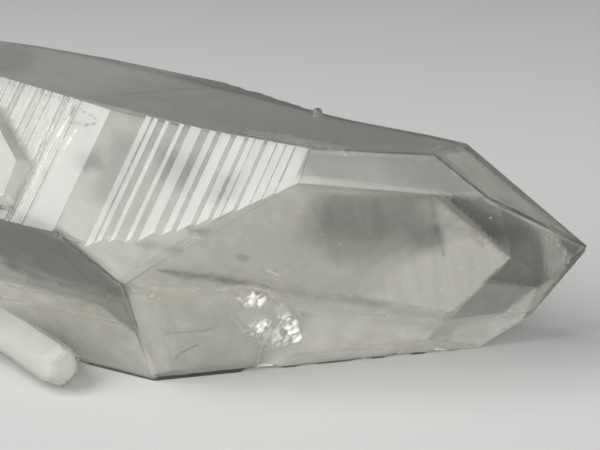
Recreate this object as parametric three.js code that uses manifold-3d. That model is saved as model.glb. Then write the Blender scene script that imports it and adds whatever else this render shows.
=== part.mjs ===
// Lemurian phantom quartz: one six-sided quartz point that lies on a prism face, with its tip to +X.
// Millimetres, +Z up. The origin is under the middle of the crystal, on the surface that it rests on.
// While it is shaped, the crystal is measured from its heart, a point inside it behind the front face.

import * as THREE from 'three';
import { mergeVertices } from 'three/addons/utils/BufferGeometryUtils.js';
import Module from 'manifold-3d';

const wasm = await Module();
wasm.setup();

// Crystal faces. turn is the angle round the long axis in degrees, 0 to the front (-Y) and 90 up.
// lean is how far a face looks towards the tip in degrees. out is its distance from the heart.
const FACES = {
  topPrism: { turn: 94.8, lean: 8.0, out: 8.32 },
  ladderPrism: { turn: 34.9, lean: 9.0, out: 5.84 },
  lowerPrism: { turn: -24.6, lean: -4.5, out: 12.48 },
  restPrism: { turn: -90.0, lean: 0.0, out: 18.23 },
  backPrism: { turn: 154.2, lean: 4.4, out: 17.64 },
  lowBackPrism: { turn: -146.0, lean: -5.0, out: 23.9 },
  topTermination: { turn: 92.2, lean: 43.9, out: 12.55 },
  shoulderTermination: { turn: 122.6, lean: 31.5, out: 17.2 },
  bandTermination: { turn: 31.2, lean: 42.7, out: 5.28 },
  frontTermination: { turn: -29.8, lean: 33.5, out: 1.11 },
  lowTermination: { turn: -87.8, lean: 36.6, out: 20.96 },
  backTermination: { turn: -145.8, lean: 37.5, out: 29.68 },
  elbow: { turn: 1.7, lean: 21.4, out: 3.76 },
  elbowSliver: { turn: -1.8, lean: 16.1, out: 5.68 },
};
const TIP_DROP = 5.0; // the long axis dips this many degrees towards the tip
const BASE_FACE = { turn: 20, lean: -78, out: 53 }; // where the crystal broke off its matrix
const STOCK = 140; // side of the block that the faces are cut from
const CUTTER = 500; // side of the blocks that cut it

// Ladder of the striated prism face: how far each bright bar, and the riser behind it, runs along
// the face, from the tip end towards the base. Bars are true prism faces, and risers face the tip.
const RUNGS = [
  [1.35, 0.17], [0.88, 0.12], [0.87, 0.12], [1.02, 0.35], [0.98, 0.12], [0.65, 0.38], [0.99, 0.48],
  [1.23, 0.48], [0.8, 0.79], [1.33, 0.68], [0.52, 0.99], [0.52, 0.69], [0.6, 0.2], [0.73, 0.05],
];
const BAR_LEAN = -0.5;
const RISER_LEAN = 28;
const RUNG_SKEW = -6; // degrees between the bars and a square line across the axis
const LADDER_START = [2.0, 8.2]; // x and z of the first bar's tip end, on the face's upper edge
const PATCH = { length: 3.34, lean: 27.8 }; // last and widest riser, up to the growth sheet
const SHEET_LENGTH = 4.2;
const SHEET_OUT = 10.3; // distance of the sheet from the heart
// Low, close steps from the sheet to the base, whose pitch swells and shrinks by a share of itself.
const FINE_RUNGS = { count: 11, pitch: 1.3, swell: 0.45, turn: 2.4, rise: 0.08, run: 0.1 };

// Back ladder, on the hidden prism face a third of a turn behind the front one.
const BACK_RUNGS = [
  [1.2, 0.3], [0.9, 0.6], [1.6, 0.9], [0.8, 0.8], [1.4, 1.2], [0.7, 0.9], [1.9, 1.3], [1.1, 1.0],
];
const BACK_LADDER_START = [-4, 6];
const BACK_SKEW = 3;

// Broad, very low swells of the top face, as distances back from their tip end and heights over the
// face. They run across it at a slant.
const TOP_SWELLS = [
  [0, 0], [5, -0.22], [9.5, -0.38], [13, -0.32], [21, 0], [32, 0.15], [42, 0.25], [52, 0], [60, -0.45],
];
const SWELL_START = [2.0, -1.1]; // x and y on the top face
const SWELL_SKEW = -18;
const PROUD = 3; // the stepped and swollen faces are first cut this far out

// Two small crystals that grew from the side of the large one.
const UPPER_TWIN = {
  apex: [-27.1, 6.2], length: 40, above: 5.6, below: 5.2, rise: 1.4, endTurn: 38, bevel: 0.8,
};
const LOWER_TWIN = { from: [-50, -0.2, -13.4], to: [-23.2, -10.4, -15.7], radius: 2.45, root: 1.12 };
// Its blunt end, as shares of the radius across and back from the end.
const LOWER_TWIN_END = [[1, 0.9], [0.82, 0.4], [0.5, 0.08], [0, 0]];

// Damage: scoops out of the broken base, chips along the edges and the tip, pits on the top face.
const BASE_SCOOPS = [
  { at: [-84, -8, 12], radius: 31.5 },
  { at: [-80, 14, 8], radius: 27.5 },
  { at: [-86, 4, -14], radius: 33.5 },
  { at: [-66, 19, -8], radius: 13 },
  { at: [-62.4, -3, 3], radius: 9 },
];
const EDGE_CHIPS = [
  { edge: ['frontTermination', 'restPrism'], x: -7.6, radius: 4.2, depth: 0.75 },
  { edge: ['frontTermination', 'restPrism'], x: -3.6, radius: 2.4, depth: 0.3 },
  { edge: ['frontTermination', 'restPrism'], x: 1.2, radius: 2.6, depth: 0.35 },
  { edge: ['frontTermination', 'restPrism'], x: 4.4, radius: 3.0, depth: 0.5 },
  { edge: ['frontTermination', 'restPrism'], x: 7.8, radius: 2.2, depth: 0.45 },
  { edge: ['lowerPrism', 'restPrism'], x: -27.5, radius: 2.6, depth: 0.3 },
  { edge: ['growthSheet', 'lowerPrism'], x: -21, radius: 0.8, depth: 0.45 },
];
const TIP_CHIP = { at: [24.4, 19.7, -6.1], radius: 1.35 };
const PITS = {
  count: 26, x: [-7.5, 5], y: [-0.6, 2.4], drift: -0.12, radius: [0.5, 1.0], depth: 0.16,
};
const TOP_BUMP = { x: -6.4, radius: 0.6, sunk: 0.4 };
const BALL_DETAIL = { scoop: 4, chip: 3, bump: 1 };

const radians = THREE.MathUtils.degToRad;
const GOLDEN = 0.618034;
const Z_AXIS = new THREE.Vector3(0, 0, 1);
const LONG_AXIS = new THREE.Vector3(Math.cos(radians(TIP_DROP)), 0, -Math.sin(radians(TIP_DROP)));
const GROWTH_SHEET = { turn: FACES.ladderPrism.turn, lean: BAR_LEAN, out: SHEET_OUT };

function solid(geometry) {
  geometry.deleteAttribute('normal');
  geometry.deleteAttribute('uv');
  const merged = mergeVertices(geometry, 1e-4);
  return new wasm.Manifold(new wasm.Mesh({
    numProp: 3,
    vertProperties: new Float32Array(merged.attributes.position.array),
    triVerts: new Uint32Array(merged.index.array),
  }));
}

function normalOf({ turn, lean }) {
  const side = Math.cos(radians(lean));
  return new THREE.Vector3(
    Math.sin(radians(lean)),
    -side * Math.cos(radians(turn)),
    side * Math.sin(radians(turn)),
  );
}

// Everything outside a face, as a block large enough to cut the whole crystal.
function beyond(face) {
  const block = new THREE.BoxGeometry(CUTTER, CUTTER, CUTTER);
  block.translate(0, 0, CUTTER / 2 + face.out);
  block.applyQuaternion(new THREE.Quaternion().setFromUnitVectors(Z_AXIS, normalOf(face)));
  return solid(block);
}

function cutTo(body, faces) {
  return faces.reduce((rest, face) => rest.subtract(beyond(face)), body);
}

// The point of a face at a given x and z.
function onFace(face, x, z) {
  const n = normalOf(face);
  return new THREE.Vector3(x, (face.out - n.x * x - n.z * z) / n.y, z);
}

// Axes on a face: back along the crystal, out of the face, and across it.
function faceAxes(face, origin, skew = 0) {
  const out = normalOf(face);
  const across = new THREE.Vector3().crossVectors(out, LONG_AXIS).normalize();
  across.applyAxisAngle(out, radians(skew));
  const back = new THREE.Vector3().crossVectors(out, across);
  return new THREE.Matrix4().makeBasis(back, out, across).setPosition(origin);
}

// The point of the top face, were it quite flat, at a given x and y.
function onTop(x, y) {
  const n = normalOf(FACES.topPrism);
  return new THREE.Vector3(x, y, (FACES.topPrism.out - n.x * x - n.y * y) / n.z);
}

// A solid whose underside is the stepped surface of a face. The steps are distances back from their
// tip end and heights over the face.
function stepCutter(face, origin, steps, skew) {
  const outline = new THREE.Shape();
  outline.moveTo(-STOCK, 0);
  steps.forEach(([back, height]) => outline.lineTo(back, height));
  outline.lineTo(STOCK, STOCK);
  outline.lineTo(-STOCK, STOCK);
  outline.closePath();
  const block = new THREE.ExtrudeGeometry(outline, { depth: CUTTER, bevelEnabled: false });
  block.translate(0, 0, -CUTTER / 2);
  block.applyMatrix4(faceAxes(face, origin, skew));
  return solid(block);
}

// Slope, over a face as a whole, of a surface on it that has a lean of its own.
function slopeOn(face, lean) {
  return Math.tan(radians(lean - face.lean));
}

// Sawtooth of a ladder: back from the tip, bars fall behind the face and risers climb over it.
function rungSteps(face, rungs) {
  const steps = [[0, 0]];
  let [back, height] = steps[0];
  for (const run of rungs.flatMap(([bar, riser]) => [[bar, BAR_LEAN], [riser, RISER_LEAN]])) {
    back += run[0];
    height += run[0] * slopeOn(face, run[1]);
    steps.push([back, height]);
  }
  return steps;
}

function frontLadder() {
  const face = FACES.ladderPrism;
  const steps = rungSteps(face, RUNGS);
  const [last, height] = steps.at(-1);
  const sheet = last + PATCH.length;
  const ledge = height + PATCH.length * slopeOn(face, PATCH.lean);
  const sheetHeight = (at) => ledge + (at - sheet) * slopeOn(face, BAR_LEAN);
  const { count, pitch, swell, turn, rise, run } = FINE_RUNGS;
  let back = sheet;
  for (let rung = 0; rung < count; rung += 1) {
    steps.push([back, sheetHeight(back)]);
    back += rung === 0 ? SHEET_LENGTH : pitch * (1 + swell * Math.sin(turn * rung));
    steps.push([back - run, sheetHeight(back) - rise]);
  }
  steps.push([STOCK, sheetHeight(STOCK)]);
  return stepCutter(face, onFace(face, ...LADDER_START), steps, RUNG_SKEW);
}

function backLadder() {
  const face = FACES.backPrism;
  const steps = rungSteps(face, BACK_RUNGS);
  const [last, height] = steps.at(-1);
  steps.push([STOCK, height + (STOCK - last) * slopeOn(face, BAR_LEAN)]);
  return stepCutter(face, onFace(face, ...BACK_LADDER_START), steps, BACK_SKEW);
}

function topSwells() {
  const steps = [...TOP_SWELLS, [STOCK, TOP_SWELLS.at(-1)[1]]];
  return stepCutter(FACES.topPrism, onTop(...SWELL_START), steps, SWELL_SKEW);
}

// Height of the swells over the flat top face at one of its points.
function swellAt(point) {
  const axes = faceAxes(FACES.topPrism, onTop(...SWELL_START), SWELL_SKEW);
  const back = point.clone().applyMatrix4(axes.invert()).x;
  const next = Math.max(TOP_SWELLS.findIndex(([at]) => at > back), 1);
  const [[from, low], [to, high]] = TOP_SWELLS.slice(next - 1, next + 1);
  return THREE.MathUtils.lerp(low, high, Math.max(back - from, 0) / (to - from));
}

// The large crystal, still endless at its base: a block cut to its faces, with the ladders and the
// swells let into it. Their faces are cut proud first, so that the steps stand on the true face.
function largeCrystal() {
  const { topPrism, ladderPrism, backPrism, ...plain } = FACES;
  const proud = [topPrism, ladderPrism, backPrism].map((face) => ({ ...face, out: face.out + PROUD }));
  const block = solid(new THREE.BoxGeometry(STOCK, STOCK, STOCK));
  return cutTo(block, [...Object.values(plain), ...proud])
    .subtract(frontLadder())
    .subtract(backLadder())
    .subtract(topSwells());
}

// A flat side crystal on the striated face: a rhombic end above its apex and a square end below.
function upperTwin() {
  const { apex, length, above, below, rise, endTurn, bevel } = UPPER_TWIN;
  const outline = new THREE.Shape();
  outline.moveTo(0, 0);
  outline.lineTo(above / Math.tan(radians(endTurn)), above);
  outline.lineTo(length, above);
  outline.lineTo(length, -below);
  outline.lineTo(0, -below);
  outline.closePath();
  const block = new THREE.ExtrudeGeometry(outline, {
    depth: rise * 2, bevelThickness: bevel, bevelSize: bevel, bevelOffset: -bevel, bevelSegments: 1,
  });
  block.rotateX(Math.PI / 2);
  block.translate(0, rise - bevel, 0);
  block.applyMatrix4(faceAxes(GROWTH_SHEET, onFace(GROWTH_SHEET, ...apex)));
  return solid(block);
}

// A stubby side crystal low on the front, with a blunt six-sided end.
function lowerTwin() {
  const { radius, root } = LOWER_TWIN;
  const from = new THREE.Vector3(...LOWER_TWIN.from);
  const to = new THREE.Vector3(...LOWER_TWIN.to);
  const length = from.distanceTo(to);
  const end = LOWER_TWIN_END.map(([across, back]) => [radius * across, length - radius * back]);
  const profile = [[0, 0], [radius * root, 0], ...end].map((point) => new THREE.Vector2(...point));
  const stub = new THREE.LatheGeometry(profile, 6);
  const along = new THREE.Vector3().subVectors(to, from).normalize();
  stub.applyQuaternion(new THREE.Quaternion().setFromUnitVectors(new THREE.Vector3(0, 1, 0), along));
  stub.translate(from.x, from.y, from.z);
  return solid(stub);
}

function ball({ at, radius }, detail) {
  const geometry = new THREE.IcosahedronGeometry(radius, detail);
  geometry.translate(...at);
  return solid(geometry);
}

// A low three-sided pit etched into the top face. The golden ratio spreads the pits over their patch.
function pit(index) {
  const spread = (index * GOLDEN) % 1;
  const x = THREE.MathUtils.lerp(...PITS.x, (index + 0.5) / PITS.count);
  const y = THREE.MathUtils.lerp(...PITS.y, spread) + PITS.drift * x;
  const cone = new THREE.ConeGeometry(THREE.MathUtils.lerp(...PITS.radius, spread), PITS.depth * 2, 3);
  cone.rotateX(-Math.PI / 2);
  cone.rotateZ(index);
  const middle = onTop(x, y);
  cone.translate(middle.x, middle.y, middle.z + swellAt(middle));
  return solid(cone);
}

// The point at a given x on the edge where two faces meet, moved outwards by a distance.
function onEdge([first, second], x, outward = 0) {
  const surfaces = { ...FACES, growthSheet: GROWTH_SHEET };
  const a = normalOf(surfaces[first]);
  const b = normalOf(surfaces[second]);
  const rows = new THREE.Matrix3().set(a.x, a.y, a.z, b.x, b.y, b.z, 1, 0, 0).invert();
  const point = new THREE.Vector3(surfaces[first].out, surfaces[second].out, x).applyMatrix3(rows);
  return point.addScaledVector(a.add(b).normalize(), outward);
}

function chip({ edge, x, radius, depth }) {
  return ball({ at: onEdge(edge, x, radius - depth).toArray(), radius }, BALL_DETAIL.chip);
}

function topBump() {
  const { x, radius, sunk } = TOP_BUMP;
  return ball({ at: onEdge(['topPrism', 'backPrism'], x, -sunk).toArray(), radius }, BALL_DETAIL.bump);
}

function crystal() {
  const grown = largeCrystal().add(upperTwin()).add(lowerTwin()).add(topBump());
  let body = grown.subtract(beyond(BASE_FACE));
  for (const scoop of BASE_SCOOPS) body = body.subtract(ball(scoop, BALL_DETAIL.scoop));
  for (const place of EDGE_CHIPS) body = body.subtract(chip(place));
  for (let index = 0; index < PITS.count; index += 1) body = body.subtract(pit(index));
  return body.subtract(ball(TIP_CHIP, BALL_DETAIL.chip));
}

// Puts the middle of the crystal over the origin and its rest face on z = 0.
function centred(geometry) {
  geometry.computeBoundingBox();
  const { min, max } = geometry.boundingBox;
  geometry.translate(-(min.x + max.x) / 2, -(min.y + max.y) / 2, -min.z);
  return geometry;
}

function geometryOf(body) {
  const { vertProperties, triVerts } = body.getMesh();
  const geometry = new THREE.BufferGeometry();
  geometry.setAttribute('position', new THREE.BufferAttribute(vertProperties, 3));
  geometry.setIndex(new THREE.BufferAttribute(triVerts, 1));
  return geometry;
}

const quartz = new THREE.MeshStandardMaterial({ color: '#b9b8ae', roughness: 0.12, metalness: 0 });
const mesh = new THREE.Mesh(centred(geometryOf(crystal())), quartz);
mesh.name = 'quartz_crystal';

const group = new THREE.Group();
group.add(mesh);

export default group;
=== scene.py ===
# Lemurian phantom quartz: a clear, slightly milky quartz point with a ghost of its own earlier tip
# inside. Metres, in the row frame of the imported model: +X to the tip, +Z up, resting on z = 0.

import math
import random

import bpy
from bpy.props import FloatProperty, FloatVectorProperty, IntProperty, PointerProperty
from mathutils import Euler, Matrix, Vector


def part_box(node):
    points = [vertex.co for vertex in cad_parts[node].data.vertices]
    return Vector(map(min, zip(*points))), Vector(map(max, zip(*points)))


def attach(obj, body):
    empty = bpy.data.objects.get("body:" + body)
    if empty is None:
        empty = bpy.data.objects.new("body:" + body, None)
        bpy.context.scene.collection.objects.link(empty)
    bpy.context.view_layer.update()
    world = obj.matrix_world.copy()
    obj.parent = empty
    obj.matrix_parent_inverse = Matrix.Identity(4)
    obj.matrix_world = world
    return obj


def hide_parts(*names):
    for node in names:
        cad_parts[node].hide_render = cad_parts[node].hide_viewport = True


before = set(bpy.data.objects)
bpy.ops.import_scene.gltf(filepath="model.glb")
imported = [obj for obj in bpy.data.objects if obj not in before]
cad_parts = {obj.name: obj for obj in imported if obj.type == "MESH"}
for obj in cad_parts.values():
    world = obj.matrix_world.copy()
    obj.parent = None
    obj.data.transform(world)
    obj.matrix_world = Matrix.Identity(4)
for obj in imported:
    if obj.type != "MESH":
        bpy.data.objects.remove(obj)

bl_info = {
    "name": "Lemurian Phantom Quartz",
    "version": (1, 0, 0),
    "blender": (4, 5, 0),
    "location": "3D View > Sidebar > Quartz",
    "description": "A phantom quartz point with its growth ladder, veils and healed cracks",
    "category": "Add Mesh",
}

MM = 0.001
NODE = "quartz_crystal"
BODY = "root"

# The heart is the point that the crystal's faces are measured from. Its place is taken from the
# tip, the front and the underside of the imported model.
LOW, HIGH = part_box(NODE)
HEART_FROM_TIP = 23.19 * MM
HEART_FROM_FRONT = 12.16 * MM
HEART_HEIGHT = 18.23 * MM
HEART = Vector((HIGH.x - HEART_FROM_TIP, LOW.y + HEART_FROM_FRONT, LOW.z + HEART_HEIGHT))
TIP_DROP = math.radians(5.0)
LONG_AXIS = Vector((math.cos(TIP_DROP), 0.0, -math.sin(TIP_DROP)))

# Crystal faces: turn round the long axis from the front and lean towards the tip, in degrees, and
# distance from the heart in millimetres.
FACES = {
    "top_prism": (94.8, 8.0, 8.32),
    "ladder_prism": (34.9, 9.0, 5.84),
    "sheet_prism": (34.9, -0.5, 10.3),
    "lower_prism": (-24.6, -4.5, 12.48),
    "top_termination": (92.2, 43.9, 12.55),
    "band_termination": (31.2, 42.7, 5.28),
    "front_termination": (-29.8, 33.5, 1.11),
    "elbow": (1.7, 21.4, 3.76),
    "elbow_sliver": (-1.8, 16.1, 5.68),
    "rest_prism": (-90.0, 0.0, 18.23),
    "back_prism": (154.2, 4.4, 17.64),
    "low_back_prism": (-146.0, -5.0, 23.9),
    "shoulder_termination": (122.6, 31.5, 17.2),
    "low_termination": (-87.8, 36.6, 20.96),
    "back_termination": (-145.8, 37.5, 29.68),
    "base": (20.0, -78.0, 53.0),
    "side_crystal": (34.9, -0.5, 11.7),
}
# Leans of the ladder's bars, fine rungs and risers, and the slant of them all, in degrees.
STEP_LEANS = {"bar": -0.5, "rung": -4.5, "riser": 28.0}
STEP_SKEW = -6.0


def hex_colour(code):
    """An sRGB hex code as a linear colour."""
    channels = [int(code[i : i + 2], 16) / 255 for i in (1, 3, 5)]
    return tuple(c / 12.92 if c <= 0.04045 else ((c + 0.055) / 1.055) ** 2.4 for c in channels)


def rgba(colour):
    return (*colour, 1.0)


# Geometry helpers


def face_normal(turn, lean):
    turn, lean = math.radians(turn), math.radians(lean)
    side = math.cos(lean)
    return Vector((math.sin(lean), -side * math.cos(turn), side * math.sin(turn)))


def face_matrix(face, depth=0.0):
    """Axes on a plane under a crystal face: x to the tip, y across and up, z out of the face."""
    turn, lean, out = FACES[face]
    outward = face_normal(turn, lean)
    across = outward.cross(LONG_AXIS).normalized()
    tipward = across.cross(outward)
    matrix = Matrix((tipward, across, outward)).transposed().to_4x4()
    matrix.translation = HEART + outward * (out * MM - depth * MM)
    return matrix


def select_only(piece):
    bpy.ops.object.select_all(action="DESELECT")
    piece.select_set(True)
    bpy.context.view_layer.objects.active = piece


def start_edit(piece):
    select_only(piece)
    bpy.ops.object.mode_set(mode="EDIT")
    bpy.ops.mesh.select_all(action="SELECT")


def end_edit():
    bpy.ops.object.mode_set(mode="OBJECT")


def settle(piece, name, material):
    """Puts a piece's place in its mesh, names it and gives it its finish and its body."""
    select_only(piece)
    bpy.ops.object.transform_apply(location=True, rotation=True, scale=True)
    piece.name = name
    piece.data.name = name
    piece.data.materials.clear()
    piece.data.materials.append(material)
    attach(piece, BODY)


def join(pieces):
    bpy.ops.object.select_all(action="DESELECT")
    for piece in pieces:
        piece.select_set(True)
    bpy.context.view_layer.objects.active = pieces[0]
    if len(pieces) > 1:
        bpy.ops.object.join()
    return pieces[0]


def distance_to_path(point, path):
    """Distance from a point to a bent line, and how far along the line its foot lies, 0 to 1."""
    nearest, share = math.inf, 0.0
    for index, (a, b) in enumerate(zip(path, path[1:])):
        a, b = Vector(a[:2]), Vector(b[:2])
        along = max(0.0, min(1.0, (point - a).dot(b - a) / (b - a).length_squared))
        distance = (point - a.lerp(b, along)).length
        if distance < nearest:
            nearest, share = distance, (index + along) / (len(path) - 1)
    return nearest, share


def box_round(path, margin):
    """The corners of a box round a path, with sides that don't fade."""
    xs, ys = [p[0] for p in path], [p[1] for p in path]
    left, right, low, high = min(xs) - margin, max(xs) + margin, min(ys) - margin, max(ys) + margin
    return [(left, low, 0), (right, low, 0), (right, high, 0), (left, high, 0)]


def edit_faces(piece, wanted):
    """Opens a piece in edit mode with only the wanted faces selected."""
    start_edit(piece)
    bpy.ops.mesh.select_mode(type="FACE")
    bpy.ops.mesh.select_all(action="DESELECT")
    end_edit()
    for face in piece.data.polygons:
        face.select = wanted(face)
    bpy.ops.object.mode_set(mode="EDIT")


def end_edit_faces():
    """Ends the edit of picked faces, back in vertex mode."""
    bpy.ops.mesh.select_mode(type="VERT")
    end_edit()


def drop_empty(sheet):
    """Removes the parts of a sheet that hide nothing."""
    values = [point.value for point in sheet.data.attributes["fullness"].data]
    edit_faces(sheet, lambda face: not any(values[index] for index in face.vertices))
    bpy.ops.mesh.delete(type="FACE")
    end_edit_faces()


# No film comes nearer than this to the broken base and to the rest face, in millimetres.
BASE_DEPTH = 6.2
REST_DEPTH = 0.2

# The grid of a streak, in millimetres. Over the end share of its length a streak grows thinner,
# down to that share of its width.
LINE_CELL = 0.25
LINE_END = 0.25


def cut_off(point, outward):
    """Cuts off what lies past a plane, given by a point on it and the way out."""
    bpy.ops.mesh.select_all(action="SELECT")
    bpy.ops.mesh.bisect(plane_co=point, plane_no=outward, clear_outer=True)


def cut_at(plane):
    """Cuts off what lies past a plane, given as a matrix whose z points out."""
    cut_off(plane.translation, plane.to_3x3().col[2])


def spread_film(piece, matrix, full_at):
    """Gives a piece the attribute 'fullness', the share that a film hides, and a UV map. Both go by
    a point's x, y in the plane of the matrix, in millimetres."""
    mesh = piece.data
    inverse = matrix.inverted()
    places = [(inverse @ vertex.co / MM).to_2d() for vertex in mesh.vertices]
    fullness = mesh.attributes.new("fullness", "FLOAT", "POINT")
    for index, place in enumerate(places):
        fullness.data[index].value = full_at(place)
    uv = mesh.uv_layers.active or mesh.uv_layers.new(name="UVMap")
    for loop in mesh.loops:
        uv.data[loop.index].uv = places[loop.vertex_index]


def veil(
    face, depth, full, outline,
    tilt=(0, 0), cell=0.5, crumple=0.0, seed=0, path=None, width=1.0, planes=(),
):
    """A thin sheet inside the crystal, parallel to a face and at a depth under it, then tilted round
    its own x and y. Full is the most that it hides. The outline is convex. Its corners are x, y in
    millimetres on that face and the width over which the side that starts there fades out. With a
    path, the sheet is full along that line only, and thins out over the width on either side. The
    cell is the spacing of its grid, whose points are moved by up to the crumple. Planes, as
    matrices whose z points out, cut it too, and so do one inside the broken base and one inside the
    rest face."""
    matrix = face_matrix(face, depth)
    xs, ys = [p[0] for p in outline], [p[1] for p in outline]
    wide, high = max(xs) - min(xs), max(ys) - min(ys)
    middle = Vector(((max(xs) + min(xs)) / 2, (max(ys) + min(ys)) / 2, 0.0)) * MM
    bpy.ops.mesh.primitive_grid_add(
        x_subdivisions=max(2, round(wide / cell)),
        y_subdivisions=max(2, round(high / cell)),
        size=MM,
        location=matrix @ middle,
        rotation=matrix.to_euler(),
    )
    sheet = bpy.context.object
    sheet.scale = (wide, high, 1.0)
    bpy.ops.object.transform_apply(location=True, rotation=True, scale=True)

    start_edit(sheet)
    edges = list(zip(outline, outline[1:] + outline[:1]))
    turn = 1 if sum(a[0] * b[1] - b[0] * a[1] for a, b in edges) < 0 else -1
    sides = []
    for (x, y, fade), end in edges:
        corner = Vector((x, y))
        along = Vector((end[0] - x, end[1] - y)).normalized()
        outward = Vector((-along.y, along.x)) * turn
        sides.append((corner, outward, fade))
        cut_off(matrix @ (corner.to_3d() * MM), matrix.to_3x3() @ outward.to_3d())
    for plane in (*planes, face_matrix("base", BASE_DEPTH), face_matrix("rest_prism", REST_DEPTH)):
        cut_at(plane)
    if crumple:
        bpy.ops.mesh.select_all(action="SELECT")
        bpy.ops.transform.vertex_random(offset=crumple * MM, seed=seed)
    end_edit()

    def full_at(place):
        share = 1.0
        for corner, outward, fade in sides:
            if fade:
                share = min(share, max(0.0, -outward.dot(place - corner) / fade))
        if path:
            away, along = distance_to_path(place, path)
            taper = min(1.0, along / LINE_END + LINE_END, (1 - along) / LINE_END + LINE_END)
            share *= max(0.0, 1.0 - away / (width * taper))
        return full * share

    spread_film(sheet, matrix, full_at)
    drop_empty(sheet)
    if any(tilt):
        pivot = matrix @ Matrix.Translation(middle)
        spin = Euler([math.radians(angle) for angle in (*tilt, 0)]).to_matrix().to_4x4()
        sheet.data.transform(pivot @ spin @ pivot.inverted())
        start_edit(sheet)
        cut_at(face_matrix("rest_prism", REST_DEPTH))
        end_edit()
    return sheet


def line_veil(face, depth, full, path, width):
    """A veil that follows a bent line on a face."""
    return veil(face, depth, full, box_round(path, width), cell=LINE_CELL, path=path, width=width)


# Material helpers


def add_node(tree, kind, links=None, **settings):
    """Adds a shader node, sets its settings and links or sets its inputs by name or number."""
    node = tree.nodes.new("ShaderNode" + kind)
    for key, value in settings.items():
        setattr(node, key, value)
    for key, value in (links or {}).items():
        if isinstance(value, bpy.types.NodeSocket):
            tree.links.new(value, node.inputs[key])
        else:
            node.inputs[key].default_value = value
    return node


def new_material(name):
    material = bpy.data.materials.new(name)
    material.use_nodes = True
    material.node_tree.nodes.clear()
    return material, material.node_tree


def plain_material(name, colour, roughness):
    material, tree = new_material(name)
    surface = add_node(tree, "BsdfPrincipled", {"Base Color": rgba(colour), "Roughness": roughness})
    add_node(tree, "OutputMaterial", {"Surface": surface.outputs[0]})
    return material


def layered(tree, value, layers):
    """A value with patterns laid over it, each given as the pattern and its share."""
    for pattern, share in layers:
        value = add_node(
            tree, "Math", {0: pattern, 1: share, 2: value}, operation="MULTIPLY_ADD"
        ).outputs[0]
    return value


# Settings that a user would change


def colour_setting(name, description, code):
    """A colour that a user can change, given as an sRGB hex code."""
    return FloatVectorProperty(
        name=name,
        description=description,
        subtype="COLOR",
        default=hex_colour(code),
        min=0.0,
        max=1.0,
    )


class QuartzBodySettings(bpy.types.PropertyGroup):
    clear_colour: colour_setting("Clear quartz", "Colour of the clearest parts", "#eeede6")
    frost_colour: colour_setting(
        "Frost", "Colour of the frosty growth bars and etched faces", "#fbfbf9"
    )
    depth_colour: colour_setting(
        "Depth colour", "Tint that a long way through the quartz takes on", "#d5d6cc"
    )
    edge_wear: FloatProperty(
        name="Edge wear",
        description="Width of the tiny flats along the edges",
        default=0.04 * MM,
        min=0.0,
        max=0.5 * MM,
        subtype="DISTANCE",
        unit="LENGTH",
        precision=5,
    )
    line_density: FloatProperty(
        name="Growth lines",
        description="Fine growth lines in a metre along the striated face",
        default=2200.0,
        min=0.0,
        max=10000.0,
    )


class QuartzPhantomSettings(bpy.types.PropertyGroup):
    depth: FloatProperty(
        name="Depth",
        description="How deep the phantom lies, as a share of its natural depth",
        default=1.0,
        min=0.3,
        max=3.0,
        subtype="FACTOR",
    )
    dust_colour: colour_setting(
        "Phantom dust", "Colour of the fine dust that coats the earlier tip", "#fffefa"
    )
    smoke_colour: colour_setting("Smoke", "Colour of the smoky zone over the phantom", "#2e2b24")
    # Painted shade: the colour of the dark films that darken the clear quartz and the gaps between the
    # bars.
    painted_shade_colour: colour_setting(
        "Shade", "Colour of the quartz where it is clear and no dust throws light back", "#4a4c48"
    )


class QuartzInclusionSettings(bpy.types.PropertyGroup):
    crack_colour: colour_setting(
        "Healed crack", "Colour of the light that a healed crack throws back", "#ffffff"
    )
    streak_colour: colour_setting(
        "Dark streak", "Colour of the dark streaks below the bent corner", "#3b4047"
    )
    cream_colour: colour_setting(
        "Cream streak", "Colour of the pale films along healed joints", "#fbf6e6"
    )
    rust_colour: colour_setting("Rust", "Colour of the iron stain on the phantom", "#a58a5a")
    specks: IntProperty(
        name="Specks",
        description="Most tiny bubbles that are scattered inside the tip",
        default=63,
        min=0,
        max=400,
    )
    speck_size: FloatProperty(
        name="Speck size",
        description="Width of the widest bubble",
        default=0.22 * MM,
        min=0.02 * MM,
        max=1 * MM,
        subtype="DISTANCE",
        unit="LENGTH",
        precision=5,
    )


class QuartzStageSettings(bpy.types.PropertyGroup):
    floor_colour: colour_setting("Floor", "Colour of the plain floor", "#bcbcba")
    floor_size: FloatProperty(
        name="Floor size",
        description="Side of the square floor",
        default=3.0,
        min=0.5,
        max=10.0,
        subtype="DISTANCE",
        unit="LENGTH",
    )
    light: FloatProperty(
        name="Light",
        description="Share of the studio lights' strength",
        default=1.0,
        min=0.0,
        max=5.0,
        subtype="FACTOR",
    )


# The crystal

# How frosty each kind of surface is, from 0 for a bright growth face to 1 for a sugary break, and
# how strongly fine growth lines show on it.
SURFACES = {
    "front_termination": (0.05, 0.0),
    "band_termination": (0.08, 0.0),
    "top_termination": (0.12, 0.0),
    "elbow": (0.12, 0.0),
    "elbow_sliver": (0.12, 0.1),
    "side_crystal": (0.7, 0.1),
    "lower_prism": (0.08, 0.1),
    "top_prism": (0.3, 0.15),
    "swell": (0.3, 0.15),
    "sheet_prism": (0.55, 1.0),
    "ladder_prism": (0.3, 0.5),
    "bar": (0.75, 0.6),
    "rung": (0.35, 1.0),
    "riser": (0.16, 0.2),
    "hidden": (0.25, 0.3),
    "break": (0.6, 0.0),
}


def growth_line_axis():
    """Direction back along the striated face, square to its growth bars."""
    outward = face_normal(*FACES["ladder_prism"][:2])
    across = outward.cross(LONG_AXIS).normalized()
    return outward.cross(Matrix.Rotation(math.radians(STEP_SKEW), 3, outward) @ across)


def step_normal(lean):
    """The way that a step of the ladder faces."""
    turn, ladder_lean, _ = FACES["ladder_prism"]
    slope = math.tan(math.radians(lean - ladder_lean))
    return (face_normal(turn, ladder_lean) - growth_line_axis() * slope).normalized()


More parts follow.
